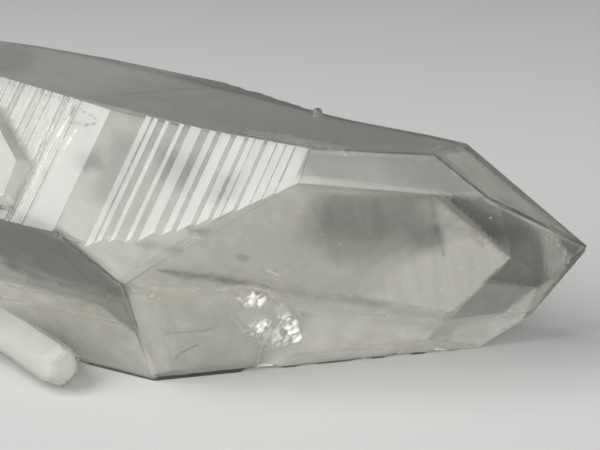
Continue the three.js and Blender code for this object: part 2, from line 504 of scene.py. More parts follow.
# How a surface is told by its plane: the likeness of two directions in one plane and on one kind of
# step, how far off its plane a surface may lie, how far out the ladder's steps begin, how level a
# swell of the top face is, and how far a face is turned away from the photograph or down.
SAME_PLANE = 0.9995
SAME_STEP = 0.7
ON_FACE = 0.03 * MM
LADDER_FLOOR = 4.0 * MM
SWELL_LEVEL = 0.95
TURNED_AWAY = 0.3
TURNED_DOWN = -0.8

# Depth and opacity of the frost under the bars.
FROST_DEPTH = 0.06 * MM
FROST_FULL = 0.34
# Painted shade: a dark film under the risers darkens the gaps between the bars, not the wide patch.
GAP_DEPTH = 0.1 * MM
GAP_FULL = 0.25
WIDEST_GAP = 22 * MM**2
# Depth and opacity of the cloud under the broken base.
CLOUDY_DEPTH = 0.7 * MM
CLOUDY_FULL = 0.5
# A film leaves out faces smaller than this.
SLIVER_AREA = 0.05 * MM**2

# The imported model's triangles are merged at this distance, and made one face up to this angle.
MERGE_DISTANCE = 0.001 * MM
FLAT_ANGLE = math.radians(0.3)

# The least angle and length of an edge that is worn.
WORN_ANGLE = math.radians(12.0)
WORN_LENGTH = 2.0 * MM

# Middle and half size, in millimetres from the heart, of the etched patch of the top face.
ETCHED_AT = Vector((-0.6, 1.4, 8.9))
ETCHED_HALF = (7.5, 2.6, 3.0)


def surface_kind(centre, normal):
    """Names the surface that a small flat face belongs to, by its plane."""
    for name, (turn, lean, out) in FACES.items():
        plane = face_normal(turn, lean)
        if normal.dot(plane) > SAME_PLANE and abs((centre - HEART).dot(plane) - out * MM) < ON_FACE:
            return name
    likeness = {name: normal.dot(step_normal(lean)) for name, lean in STEP_LEANS.items()}
    nearest = max(likeness, key=likeness.get)
    on_ladder = (centre - HEART).dot(face_normal(*FACES["ladder_prism"][:2])) > LADDER_FLOOR
    if likeness[nearest] > SAME_STEP and on_ladder:
        return nearest
    if normal.z > SWELL_LEVEL:
        return "swell"
    if max(normal.x, normal.y) > TURNED_AWAY or normal.z < TURNED_DOWN:
        return "hidden"
    return "break"


def wear_edges(piece, width):
    """Cuts a tiny flat along each long edge where two crystal faces meet."""
    mesh = piece.data
    meeting = {}
    for face in mesh.polygons:
        for key in face.edge_keys:
            meeting.setdefault(key, []).append(face)
    weight = mesh.attributes.new("bevel_weight_edge", "FLOAT", "EDGE")
    for edge in mesh.edges:
        first, second = meeting[edge.key]
        span = mesh.vertices[edge.vertices[1]].co - mesh.vertices[edge.vertices[0]].co
        convex = (second.center - first.center).dot(first.normal) < 0.0
        sharp = first.normal.dot(second.normal) < math.cos(WORN_ANGLE)
        named = all(surface_kind(f.center, f.normal) in FACES for f in (first, second))
        weight.data[edge.index].value = float(
            named and convex and sharp and span.length > WORN_LENGTH
        )
    wear = piece.modifiers.new("edge wear", "BEVEL")
    wear.limit_method = "WEIGHT"
    wear.width = width
    wear.segments = 1
    wear.use_clamp_overlap = False
    select_only(piece)
    bpy.ops.object.modifier_apply(modifier=wear.name)


def skin_film(piece, kinds, depth, full, widest=math.inf):
    """A thin film at an even depth under some kinds of surface, where a face is not too wide."""

    def wanted(face):
        sized = SLIVER_AREA < face.area < widest
        return sized and surface_kind(face.center, face.normal) in kinds

    edit_faces(piece, wanted)
    bpy.ops.mesh.duplicate()
    bpy.ops.mesh.separate(type="SELECTED")
    end_edit_faces()
    film = next(each for each in bpy.context.selected_objects if each is not piece)
    start_edit(film)
    bpy.ops.transform.shrink_fatten(value=-depth)
    cut_at(face_matrix("rest_prism", REST_DEPTH))
    end_edit()
    spread_film(film, face_matrix("ladder_prism"), lambda place: full)
    return film


def quartz_material(settings):
    """Natural rock crystal. To the eye: clear depth with a faint warm grey, bright flat faces that
    are etched here and there, fine straight growth lines, and frosty white bars where the growth
    was stepped."""
    material, tree = new_material("Rock crystal, natural growth faces")
    place = add_node(tree, "TexCoord").outputs["Object"]
    frost = add_node(tree, "Attribute", attribute_name="frost").outputs["Fac"]
    lined = add_node(tree, "Attribute", attribute_name="growth_lines").outputs["Fac"]

    etched = add_node(
        tree, "TexNoise", {"Vector": place, "Scale": 0.14 / MM, "Detail": 3.0, "Roughness": 0.62}
    ).outputs["Fac"]
    satin = add_node(
        tree, "TexNoise", {"Vector": place, "Scale": 4.0 / MM, "Detail": 2.0}
    ).outputs["Fac"]
    along = add_node(
        tree,
        "VectorMath",
        {0: place, 1: growth_line_axis() * settings.line_density},
        operation="DOT_PRODUCT",
    ).outputs["Value"]
    lines = add_node(
        tree,
        "TexNoise",
        {"W": along, "Scale": 1.0, "Detail": 4.0, "Roughness": 0.7},
        noise_dimensions="1D",
    ).outputs["Fac"]

    # Pits etched into the top face, close to the ladder.
    away = add_node(tree, "VectorMath", {0: place, 1: HEART + ETCHED_AT * MM}, operation="SUBTRACT")
    away = add_node(
        tree,
        "VectorMath",
        {0: away.outputs[0], 1: [1.0 / (half * MM) for half in ETCHED_HALF]},
        operation="MULTIPLY",
    )
    away = add_node(tree, "VectorMath", {0: away.outputs[0]}, operation="LENGTH")
    pitted = add_node(
        tree, "MapRange", {"Value": away.outputs["Value"], "From Min": 1.0, "From Max": 0.45}
    ).outputs[0]
    pits = add_node(tree, "TexVoronoi", {"Vector": place, "Scale": 1.7 / MM})

    # Steeper forms of the patterns, each between a low and a high value.
    steep = []
    for pattern, low, high in (
        (etched, 0.35, 0.7),
        (lines, 0.4, 0.62),
        (pits.outputs["Distance"], 0.0, 0.55),
    ):
        ramp = add_node(tree, "ValToRGB", {"Fac": pattern})
        stops = ramp.color_ramp.elements
        stops[0].position, stops[1].position = low, high
        steep.append(ramp.outputs[0])
    patchy, streaky, pits = steep

    # Most patterns show only on the faces, or on the part of a face, that have them.
    streaks, ridges, sugar, pits = (
        add_node(tree, "Math", {0: pattern, 1: where}, operation="MULTIPLY").outputs[0]
        for pattern, where in ((streaky, lined), (lines, lined), (satin, frost), (pits, pitted))
    )
    frosty = layered(tree, frost, ((patchy, 0.12), (streaks, 0.35), (pits, 0.6)))
    height = layered(tree, 0.0, ((ridges, 0.9), (etched, 0.25), (sugar, 0.35), (pits, 2.2)))
    colour = add_node(
        tree,
        "Mix",
        {0: frosty, 6: rgba(settings.clear_colour), 7: rgba(settings.frost_colour)},
        data_type="RGBA",
    )
    roughness = add_node(tree, "MapRange", {"Value": frosty, "To Min": 0.03, "To Max": 0.55})
    bump = add_node(tree, "Bump", {"Height": height, "Strength": 0.15, "Distance": 0.25 * MM})
    surface = add_node(
        tree,
        "BsdfPrincipled",
        {
            "Base Color": colour.outputs[2],
            "Roughness": roughness.outputs[0],
            "IOR": 1.544,
            "Transmission Weight": 0.96,
            "Normal": bump.outputs[0],
        },
    )
    depth = add_node(tree, "VolumeAbsorption", {"Color": rgba(settings.depth_colour), "Density": 42.0})
    add_node(tree, "OutputMaterial", {"Surface": surface.outputs[0], "Volume": depth.outputs[0]})
    return material


class QUARTZ_OT_point(bpy.types.Operator):
    """Finish the quartz point: worn edges, growth lines, and the films under its skin"""

    bl_idname = "quartz.point"
    bl_label = "Quartz Point"

    def execute(self, context):
        settings = context.scene.quartz_body
        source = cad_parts[NODE]
        bpy.ops.object.select_all(action="DESELECT")
        mesh = source.data.copy()
        piece = bpy.data.objects.new("quartz_point", mesh)
        context.collection.objects.link(piece)
        start_edit(piece)
        bpy.ops.mesh.remove_doubles(threshold=MERGE_DISTANCE)
        bpy.ops.mesh.dissolve_limited(angle_limit=FLAT_ANGLE)
        end_edit()
        wear_edges(piece, settings.edge_wear)
        frost = mesh.attributes.new("frost", "FLOAT", "FACE")
        lines = mesh.attributes.new("growth_lines", "FLOAT", "FACE")
        for face in mesh.polygons:
            kind = surface_kind(face.center, face.normal)
            frosty, lined = SURFACES.get(kind, SURFACES["hidden"])
            frost.data[face.index].value, lines.data[face.index].value = frosty, lined
        bpy.ops.object.shade_flat()
        settle(piece, "quartz_point", quartz_material(settings))
        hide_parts(NODE)
        # To the eye: the bars are white with frost, painted shade darkens the gaps between them, and
        # the break is cloudy.
        frost_colour, painted_shade_colour = settings.frost_colour, context.scene.quartz_phantom.painted_shade_colour
        frosted = dust_material("Frost on growth bars", frost_colour, mottle=0.5, grain_scale=3.0)
        shaded = film_material("Shade between growth bars", painted_shade_colour, mottle=0.2, grain_scale=1.0)
        cloudy = film_material(
            "Cloudy quartz under the break", frost_colour, mottle=0.5, grain_scale=1.0
        )
        for name, finish, film in (
            ("bar_frost", frosted, (("bar", "rung"), FROST_DEPTH, FROST_FULL)),
            ("step_shade", shaded, (("riser",), GAP_DEPTH, GAP_FULL, WIDEST_GAP)),
            ("break_cloud", cloudy, (("break",), CLOUDY_DEPTH, CLOUDY_FULL)),
        ):
            settle(skin_film(piece, *film), name, finish)
        return {"FINISHED"}


# The phantom

# The bands of the dust in lumps a millimetre, and how far they are drawn out over the face.
BAND_SCALE = 0.9
BAND_STRETCH = (1.0, 0.12, 1.0)


def dust_material(name, colour, mottle, grain_scale=1.6, roughness=0.8, bands=0.0):
    """A film of fine dust grown over inside the crystal. To the eye: a soft pale veil, mottled and
    denser in faint bands, with the quartz behind it showing through. Mottle and bands are the
    shares that they thin it by, and the grain's scale is in lumps a millimetre."""
    material, tree = new_material(name)
    alpha = add_node(tree, "Attribute", attribute_name="fullness").outputs["Fac"]
    place = add_node(tree, "UVMap").outputs[0]
    patterns = [(place, grain_scale, mottle)]
    if bands:
        stretched = add_node(tree, "Mapping", {"Vector": place, "Scale": BAND_STRETCH})
        patterns.append((stretched.outputs[0], BAND_SCALE, bands))
    for where, scale, share in patterns:
        noise = add_node(tree, "TexNoise", {"Vector": where, "Scale": scale, "Detail": 3.0})
        thinned = add_node(
            tree,
            "MapRange",
            {"Value": noise.outputs["Fac"], "From Min": 0.3, "From Max": 0.7, "To Min": 1.0 - share},
        )
        alpha = add_node(
            tree, "Math", {0: alpha, 1: thinned.outputs[0]}, operation="MULTIPLY"
        ).outputs[0]
    surface = add_node(
        tree, "BsdfPrincipled", {"Base Color": rgba(colour), "Roughness": roughness, "Alpha": alpha}
    )
    add_node(tree, "OutputMaterial", {"Surface": surface.outputs[0]})
    return material


# Dusty faces of the earlier tip, by the crystal face that they lie under, each as depth in
# millimetres, opacity and outline, and how far all are crumpled in millimetres. The first is the
# ghost's whole front, and the others thicken its dust towards its lower tip and its base.
DUST_CRUMPLE = 0.02
PHANTOM = {
    "front_termination": [
        (1.2, 0.18, [
            (1.0, 5.3, 0.8), (13.5, 0.3, 0.12), (20.6, -11.3, 0.3), (13.1, -18.1, 0.5), (-1.8, -8.4, 1.2),
            (-12.1, -2.5, 4.0), (-7.5, 2.6, 3.0),
        ]),
        (1.25, 1.0, [
            (20.6, -11.4, 0.3), (13.1, -17.8, 0.8), (1.1, -10.3, 5), (5.0, -6.6, 4), (12.7, -3.9, 3),
            (16.3, -4.4, 0.3),
        ]),
        (1.3, 0.35, [
            (1.0, 5.0, 2), (5.2, 3.4, 4), (4.3, -7.6, 4), (-1.7, -8.1, 1), (-9.7, -1.5, 3),
            (-8.0, 3.1, 3),
        ]),
    ],
    "band_termination": [
        (1.2, 0.12, [
            (-3.3, 5.6, 2.0), (10.1, 10.5, 0.6), (16.4, 8.3, 0.4), (11.0, 6.6, 0.6), (-2.3, 2.8, 1.0),
        ]),
    ],
}


class QUARTZ_OT_phantom(bpy.types.Operator):
    """Grow the phantom: the dusty faces of an earlier tip inside the point"""

    bl_idname = "quartz.phantom"
    bl_label = "Phantom"

    def execute(self, context):
        settings = context.scene.quartz_phantom
        dust = dust_material("Phantom dust in quartz", settings.dust_colour, 0.14, bands=0.22)
        sheets = []
        for face, zones in PHANTOM.items():
            for depth, full, outline in zones:
                depth, seed = depth * settings.depth, len(sheets)
                sheets.append(veil(face, depth, full, outline, crumple=DUST_CRUMPLE, seed=seed))
        settle(join(sheets), "phantom_veil", dust)
        return {"FINISHED"}


# The milky inside of the point: a closed shell under each face, as depth in millimetres and opacity.
# It ends at the ghost's own tip, and beyond that the quartz is clear.
MILK = {
    "front_termination": (1.9, 0.72),
    "elbow": (1.7, 0.72),
    "elbow_sliver": (0.9, 0.8),
    "band_termination": (1.7, 0.05),
    "top_termination": (2.0, 0.3),
    "shoulder_termination": (2.0, 0.3),
    "ladder_prism": (1.5, 0.42),
    "sheet_prism": (1.2, 0.42),
    "top_prism": (0.9, 0.22),
    "back_prism": (1.0, 0.4),
    "low_back_prism": (1.5, 0.4),
    "rest_prism": (0.4, 0.5),
    "lower_prism": (1.6, 0.3),
    "low_termination": (1.4, 0.4),
    "back_termination": (2.5, 0.4),
}
# Outlines of the shell's front sheet and of the others, how far from the heart it ends towards the
# tip, and the cells of its sheets. Only the front one fades out, and so needs small ones.
GHOST_FRONT = [
    (1.1, 6.5, 1.8), (13.4, 0.0, 0.4), (20.1, -11.2, 0.4), (13.0, -18.0, 0.4),
    (9.8, -23.0, 0), (-30.0, -23.0, 0), (-30.0, 6.5, 0),
]
WHOLE_FACE = [(-80, -50, 0), (60, -50, 0), (60, 50, 0), (-80, 50, 0)]
GHOST_LENGTH = 17.0
GHOST_CELL = 0.6
WHOLE_CELL = 5.0


def milk_shell():
    """The sheets of the milky shell, each cut off where it meets the others."""
    planes = {face: face_matrix(face, depth) for face, (depth, _) in MILK.items()}
    end = LONG_AXIS.to_track_quat("Z", "Y").to_matrix().to_4x4()
    end.translation = HEART + LONG_AXIS * GHOST_LENGTH * MM
    sheets = []
    for face, (depth, full) in MILK.items():
        cuts = [plane for other, plane in planes.items() if other != face]
        if face == "front_termination":
            sheet = veil(face, depth, full, GHOST_FRONT, cell=GHOST_CELL, planes=cuts)
        else:
            sheet = veil(face, depth, full, WHOLE_FACE, cell=WHOLE_CELL, planes=[*cuts, end])
        sheets.append(sheet)
    return sheets


# Films of smoke, painted shade and haze by face, each as depth in millimetres, opacity and
# outline, and a tilt in degrees where one doesn't lie along its face.
SMOKE = {
    "front_termination": [
        (1.6, 1.0, [(14.4, -0.4, 0.1), (20.1, -3.4, 3), (24.0, -9.0, 4), (20.6, -11.6, 0.1)]),
    ],
}
# Painted shade: dark films that darken the clear quartz and the faces that they lie under.
CLEAR_SHADE = {
    "front_termination": [
        (1.5, 0.68, [(20.6, -11.5, 0), (20.0, -3.0, 0.5), (23.9, -8.7, 0.1), (24.2, -16.1, 0)]),
        (1.5, 0.5, [(20.6, -11.5, 0), (24.2, -16.1, 0.1), (19.0, -19.5, 0), (13.0, -18.5, 0)]),
        (0.7, 0.95, [(24.4, -8.7, 0.1), (25.9, -11.4, 0.1), (26.5, -14.1, 0.3), (28.1, -12.0, 0.2)]),
        (1.0, 0.4, [(1.5, 4.6, 0.5), (13.6, 0.1, 2), (14.5, -7, 4), (4.5, -7.5, 4), (-1.5, -1.5, 3)]),
        (1.1, 0.3, [(10.1, -2.5, 2), (13.7, -4.6, 1), (13.3, -8.5, 2), (9.6, -7.3, 2)]),
    ],
    "band_termination": [
        (0.8, 0.85, [
            (2.3, 8.1, 0.3), (9.7, 10.7, 0.2), (16.5, 8.3, 0.3), (11.5, 7.1, 0.3), (5.9, 5.5, 6),
        ]),
    ],
    "top_termination": [
        (0.7, 0.8, [
            (4.4, 14.9, 0.8), (16.7, 19.1, 0.2), (19.2, 19.7, 0.2), (19.5, 20.7, 0.2), (4.4, 15.8, 0.2),
        ]),
    ],
    "lower_prism": [
        (1.4, 0.45, [
            (-60, 2.0, 0), (-60, 8, 0), (-21.2, 3.4, 0.4), (-14.2, -2.5, 0.3), (-14.8, -16.6, 0.6),
            (-25.7, -17.2, 0), (-60, -17.2, 0),
        ]),
        (0.9, 0.7, [
            (-60, 8, 0), (-21.0, 3.4, 0.3), (-14.4, -2.3, 0.3), (-15.0, -5.2, 1.2), (-22.2, -4.6, 1.2),
            (-60, -4.6, 0),
        ]),
    ],
    "top_prism": [
        (1.5, 0.2, [
            (-60, 1.5, 0), (-60, 18, 0), (-10.6, 17.6, 0), (10.7, 15.8, 0.3), (9.6, 9.2, 3), (0, 1.5, 3),
        ]),
    ],
    "sheet_prism": [
        (0.9, 0.6, [(-22.8, 0.5, 1.0), (-19.4, 2.4, 1.0), (-18.0, -0.6, 1.0), (-20.9, -1.8, 1.0)]),
    ],
    "ladder_prism": [
        (1.2, 0.35, [(-21.5, 4.8, 1.5), (-16.0, 4.8, 1.5), (-17.0, -4.6, 1.5), (-21.5, -4.6, 1.5)]),
        (1.2, 0.6, [(-16.4, 3.8, 1.8), (-9.1, 4.2, 1.8), (-9.9, -1.3, 1.8), (-14.8, -0.3, 1.8)]),
        (1.2, 0.6, [(-8.4, 2.2, 1.5), (-4.9, 3.5, 1.5), (-5.1, -0.8, 1.5), (-8.7, -1.6, 1.5)]),
    ],
}
HAZE = {
    "front_termination": [
        (0.7, 0.3, [
            (23.9, -8.3, 0.1), (24.4, -8.7, 0.1), (25.9, -11.4, 0.1), (26.5, -14.3, 0),
            (24.2, -15.7, 0.1),
        ]),
        (0.7, 0.45, [(24.2, -15.7, 0), (26.5, -14.4, 0.3), (22.1, -20.0, 0), (19.0, -19.2, 0.1)]),
        (0.7, 0.75, [
            (19.0, -19.2, 0), (22.0, -20.1, 0.3), (16.0, -23.5, 0.3), (11.4, -21.8, 1.0),
            (13.5, -18.8, 1.5),
        ]),
        (1.6, 1.0, [
            (-1.9, -9.0, 3), (12.9, -18.2, 0.6), (9.8, -21.7, 0.6), (-4.2, -20.3, 0.6), (-9.4, -18.3, 2),
            (-6.9, -13.0, 4),
        ], (-9, 4)),
        (0.6, 0.8, [
            (-4.7, -16.8, 1.5), (2.9, -18.3, 1.5), (10.0, -19.6, 1.5), (16.0, -22.8, 0.4),
            (11.3, -22.7, 0.4), (-1.0, -20.9, 0.3), (-7.3, -18.5, 2),
        ]),
        (1.4, 0.6, [
            (-10.4, -8.6, 1.5), (-6.0, -7.2, 1.5), (-3.2, -8.8, 1.2), (-2.0, -13.0, 1.2),
            (-2.6, -16.4, 1.2), (-6.2, -16.6, 1.5), (-9.6, -13.4, 1.5),
        ]),
        (0.45, 0.6, [(-18.5, -1.4, 1.5), (-15.0, -3.4, 3), (-15.4, -15.4, 0.3), (-19.6, -15.2, 0)]),
    ],
    "top_termination": [
        (0.7, 0.4, [
            (3.7, 9.3, 0.3), (4.4, 14.9, 1.2), (16.7, 19.1, 0.5), (19.3, 20.1, 0.3), (10.3, 10.5, 0.3),
        ]),
    ],
    "elbow": [
        (0.45, 0.6, [(-23.4, -2.0, 0.5), (-21.6, -1.2, 2.5), (-14.4, -5.0, 1), (-17.0, -7.0, 0)]),
    ],
    "lower_prism": [
        (1.0, 0.8, [
            (-60, -7.0, 0), (-33, -6.4, 1.5), (-18.4, -6.0, 1.2), (-15.0, -8.6, 0.4), (-14.8, -16.6, 0.3),
            (-25.6, -17.4, 0.3), (-60, -17.4, 0),
        ]),
    ],
}
# Least depth of a film under a face that it doesn't run along, in millimetres.
WALL_DEPTH = 0.3


def film_material(name, colour, mottle, grain_scale=0.35):
    """A film in the quartz: painted shade, or smoke, haze, milk or stain. To the eye: a soft tint with no
    surface of its own.
    """
    return dust_material(name, colour, mottle, grain_scale, roughness=0.9)


# The milky core of the side crystal at the lower left: its ends from the heart and its radius, in
# millimetres, its rounding as a share of the radius, and its opacity.
CORE_FROM = Vector((-48.0, -0.9, -13.6))
CORE_TO = Vector((-24.2, -10.0, -15.6))
CORE_RADIUS = 1.6
CORE_ROUNDING = 0.75
CORE_FULL = 0.5


def milky_core():
    """A rounded rod inside the side crystal."""
    axis = CORE_TO - CORE_FROM
    bpy.ops.mesh.primitive_cylinder_add(
        vertices=24,
        radius=CORE_RADIUS * MM,
        depth=axis.length * MM,
        location=HEART + CORE_FROM.lerp(CORE_TO, 0.5) * MM,
        rotation=axis.to_track_quat("Z", "Y").to_euler(),
    )
    rod = bpy.context.object
    bevel = rod.modifiers.new("rounding", "BEVEL")
    bevel.width = CORE_RADIUS * CORE_ROUNDING * MM
    bevel.segments = 5
    bevel.limit_method = "ANGLE"
    bpy.ops.object.modifier_apply(modifier=bevel.name)
    bpy.ops.object.shade_smooth()
    spread_film(rod, face_matrix("lower_prism"), lambda place: CORE_FULL)
    return rod


class QUARTZ_OT_smoke(bpy.types.Operator):
    """Add the smoky zone over the phantom, and the painted shade and the haze of the clear parts"""

    bl_idname = "quartz.smoke"
    bl_label = "Smoke and Haze"

    def execute(self, context):
        settings = context.scene.quartz_phantom
        # No film crosses a face beside its own, nor the milky film under the sliver.
        under_lower = face_matrix("lower_prism", WALL_DEPTH)
        walls = {
            "front_termination": [under_lower],
            "elbow": [under_lower, face_matrix("ladder_prism", WALL_DEPTH)],
            "lower_prism": [face_matrix("elbow_sliver", MILK["elbow_sliver"][0])],
        }
        # To the eye: a brownish dark patch over the phantom, painted grey shade where the quartz is
        # clear, a pale haze round it, and a milky body behind them all.
        for name, zones, finish in (
            ("smoky_zone", SMOKE, ("Smoky quartz", settings.smoke_colour, 0.15)),
            ("clear_shade", CLEAR_SHADE, ("Shade in clear quartz", settings.painted_shade_colour, 0.25)),
            ("growth_haze", HAZE, ("Haze in clear quartz", settings.dust_colour, 0.25)),
        ):
            sheets = [
                veil(face, *zone, planes=walls.get(face, []))
                for face, rows in zones.items()
                for zone in rows
            ]
            settle(join(sheets), name, film_material(*finish))
        milk = film_material("Milky quartz", settings.dust_colour, 0.25)
        settle(join([*milk_shell(), milky_core()]), "milky_quartz", milk)
        return {"FINISHED"}


# Films along bent lines by face, each as depth in millimetres, opacity, line and width.
DARK_STREAKS = {
    "sheet_prism": [
        (0.1, 0.8, [(-24.2, 5.7), (-24.4, 4.2)], 0.2),
        (0.1, 0.7, [(-24.3, 3.6), (-22.3, 3.5), (-20.5, 4.0)], 0.14),
        (0.1, 0.5, [(-23.6, 5.3), (-22.6, 4.9), (-21.1, 4.5), (-20.4, 4.1)], 0.12),
    ],
    "lower_prism": [
        (0.6, 0.75, [(-31.8, -3.9), (-28.3, -4.4), (-24.9, -4.4)], 0.9),
        (0.6, 0.6, [(-25.0, -4.5), (-22.1, -4.5), (-18.7, -4.4), (-15.6, -4.6)], 0.6),
        (0.5, 0.9, [(-31.2, -3.8), (-28.6, -3.7)], 0.8),
    ],
    "front_termination": [
        (0.8, 0.8, [(-14.9, -0.6), (-12.4, -2.2), (-10.5, -3.1), (-7.7, -5.0), (-4.9, -6.6)], 0.75),
        (1.0, 0.3, [(-5.5, -6.5), (-2.9, -8.3), (-0.5, -9.6), (3.0, -11.5), (7.0, -14.0)], 0.9),
        (0.6, 0.6, [(-6.8, -1.3), (-6.0, -2.2)], 0.6),
        (0.8, 0.7, [(-16.8, -14.1), (-16.2, -13.1), (-14.5, -12.5), (-13.8, -12.4)], 0.22),
        (0.8, 0.5, [(-16.4, -9.5), (-14.5, -10.1), (-12.4, -10.5), (-10.7, -10.4)], 0.22),
        (1.1, 0.35, [(13.3, 0.2), (13.3, -4.1), (13.6, -8.6)], 0.5),
        (1.1, 0.1, [(3.1, 3.0), (2.6, -2.5), (2.6, -6.6)], 0.6),
        (1.1, 0.07, [(5.2, 2.1), (4.9, -3.9)], 0.5),
        (1.1, 0.1, [(7.9, 1.2), (7.5, -4.2)], 0.6),
    ],
    "elbow": [
        (0.6, 0.6, [(-10.9, -0.4), (-9.6, -0.6), (-8.3, -0.5)], 0.6),
        (0.6, 0.35, [(-16.0, -2.5), (-13.0, -2.6), (-11.2, -2.8)], 0.7),
    ],
    "top_prism": [(0.4, 0.25, [(-25.4, -2.1), (-23.5, 7.9), (-19.6, 18.6)], 0.35)],
}
PALE_STREAKS = {
    "sheet_prism": [
        (0.12, 0.9, [(-26.9, 3.2), (-27.2, -1.7)], 0.16),
        (0.12, 0.7, [(-26.0, 3.3), (-26.6, -0.5)], 0.14),
        (0.12, 1.0, [(-24.7, 3.4), (-24.9, 2.2), (-25.7, -1.9), (-25.7, -4.8)], 0.2),
        (0.12, 0.9, [(-22.9, 3.2), (-23.8, -0.2), (-24.2, -7.5)], 0.16),
        (0.12, 0.6, [(-20.6, -4.1), (-20.6, -6.7)], 0.14),
    ],
    "lower_prism": [
        (0.5, 0.6, [(-32.9, -7.7), (-27.2, -6.9), (-23.0, -6.7), (-18.6, -6.4)], 0.7),
        (0.5, 0.5, [(-34.7, -10.3), (-28.3, -9.3), (-23.7, -8.8), (-15.1, -8.1)], 0.8),
    ],
    "front_termination": [
        (0.3, 0.6, [(-17.4, -1.0), (-15.8, -2.7), (-12.9, -3.8), (-11.3, -4.8)], 0.8),
        (0.6, 0.95, [(-10.0, -5.1), (-7.8, -5.5), (-6.3, -6.0), (-5.0, -7.2), (-4.1, -9.7)], 0.6),
        (0.3, 0.9, [(-16.8, -3.7), (-15.9, -3.5)], 0.4),
        (0.7, 0.9, [(-13.4, -10.7), (-11.8, -10.9)], 0.3),
        (0.5, 1.0, [(-4.5, -4.0), (-3.4, -5.3)], 0.4),
        (0.6, 0.5, [(-3.4, -5.4), (-1.9, -6.8)], 0.35),
        (0.6, 0.8, [(24.4, -8.5), (25.3, -10.1), (26.1, -11.8), (26.5, -14.2)], 0.18),
    ],
    "elbow": [(0.6, 0.4, [(-10.8, -1.2), (-8.9, -1.3)], 0.7)],
}
RUST = {
    "front_termination": [(1.0, 0.45, [(16.9, -5.8), (17.3, -7.2), (17.8, -8.6)], 0.7)],
}
# Grain of the streaks in lumps a millimetre.
STREAK_GRAIN = 1.6


class QUARTZ_OT_streaks(bpy.types.Operator):
    """Draw the dark and cream streaks below the bent corner, and the rust spot"""

    bl_idname = "quartz.streaks"
    bl_label = "Streaks"

    def execute(self, context):
        settings = context.scene.quartz_inclusions
        # To the eye: thin slate-grey lines, cream lines beside them, and a brown smudge on the
        # phantom.
        for name, lines, finish in (
            ("dark_streaks", DARK_STREAKS, ("Dark mineral film", settings.streak_colour, 0.6)),
            (
                "cream_streaks",
                PALE_STREAKS,
                ("Cream film in a healed joint", settings.cream_colour, 0.4),
            ),
            ("rust_spot", RUST, ("Rusty iron stain", settings.rust_colour, 0.9)),
        ):
            sheets = [line_veil(face, *line) for face, rows in lines.items() for line in rows]
            settle(join(sheets), name, film_material(*finish, STREAK_GRAIN))
        return {"FINISHED"}


# Petals of the healed crack, each as depth in millimetres, opacity, outline and tilt in degrees.
# The last and widest is the faint silver round the bright ones. Their grid and how far it is
# crumpled are in millimetres.
CRACK_CELL = 0.35
CRACK_CRUMPLE = 0.14
CRACK_PETALS = [
    (1.0, 1.0, [
        (-5.0, -9.4, 0.2), (-3.6, -10.0, 0.2), (-2.9, -13.0, 0.2), (-3.1, -15.3, 0.2), (-4.1, -15.5, 0.2),
        (-5.0, -12.5, 0.3),
    ], (-24, 10)),
    (1.1, 1.0, [
        (-6.9, -13.6, 0.3), (-5.3, -12.4, 0.2), (-4.6, -14.4, 0.2), (-4.8, -15.9, 0.2),
        (-6.3, -15.1, 0.3),
    ], (-27, 6)),
    (1.3, 1.0, [
        (-8.6, -10.7, 0.7), (-7.2, -9.8, 0.5), (-5.6, -10.4, 0.3), (-5.5, -12.8, 0.4), (-7.5, -13.6, 0.7),
    ], (-23, 0)),
    (1.0, 0.8, [
        (-8.6, -6.9, 0.4), (-6.4, -6.6, 0.4), (-5.0, -8.2, 0.3), (-6.2, -9.4, 0.4), (-7.8, -8.9, 0.5),
    ], (-26, 8)),
    (1.8, 0.6, [
        (-10.2, -8.4, 1.6), (-6.4, -7.0, 1.6), (-3.6, -8.4, 1.4), (-2.4, -12.4, 1.2), (-3.0, -16.0, 1.2),
        (-6.6, -16.2, 1.4), (-9.4, -12.8, 1.6),
    ], (-22, 3)),
]


def crack_material(colour):
    """A crack that healed with a gap in it. To the eye: crumpled silver-white, far brighter than
    the quartz round it."""
    material, tree = new_material("Healed crack in quartz")
    fullness = add_node(tree, "Attribute", attribute_name="fullness").outputs["Fac"]
    place = add_node(tree, "UVMap").outputs[0]
    grain = add_node(tree, "TexNoise", {"Vector": place, "Scale": 1.3, "Detail": 5.0})
    eaten = add_node(
        tree, "MapRange", {"Value": grain.outputs["Fac"], "From Min": 0.3, "From Max": 0.45}
    )
    alpha = add_node(tree, "Math", {0: fullness, 1: eaten.outputs[0]}, operation="MULTIPLY").outputs[0]
    surface = add_node(
        tree,
        "BsdfPrincipled",
        {"Base Color": rgba(colour), "Metallic": 0.7, "Roughness": 0.35, "Alpha": alpha},
    )
    add_node(tree, "OutputMaterial", {"Surface": surface.outputs[0]})
    return material


class QUARTZ_OT_cracks(bpy.types.Operator):
    """Add the bright healed crack under the front face"""

    bl_idname = "quartz.cracks"
    bl_label = "Healed Crack"

    def execute(self, context):
        settings = context.scene.quartz_inclusions
        petals = [
            veil("front_termination", *petal, CRACK_CELL, CRACK_CRUMPLE, seed)
            for seed, petal in enumerate(CRACK_PETALS)
        ]
        settle(join(petals), "healed_crack", crack_material(settings.crack_colour))
        return {"FINISHED"}


# Bubbles that are told apart on the front face, x and y in millimetres, and their depth.
KNOWN_SPECKS = [(15.1, -10.8), (16.8, -11.5), (12.7, -13.1), (18.9, -4.7)]
KNOWN_DEPTH = 0.6

# The others are scattered over this area and depth, at a share of the widest one's size, and kept
# where they lie in a diamond given by its middle and its half width and height.
SPECK_SEED = 11
SPECK_ALONG = (-14, 22)
SPECK_ACROSS = (-18, 2)
SPECK_DEPTH = (0.5, 2.2)
SPECK_SHARE = (0.25, 0.7)
DIAMOND_AT = (4, -8)
DIAMOND_HALF = (21.6, 13.2)


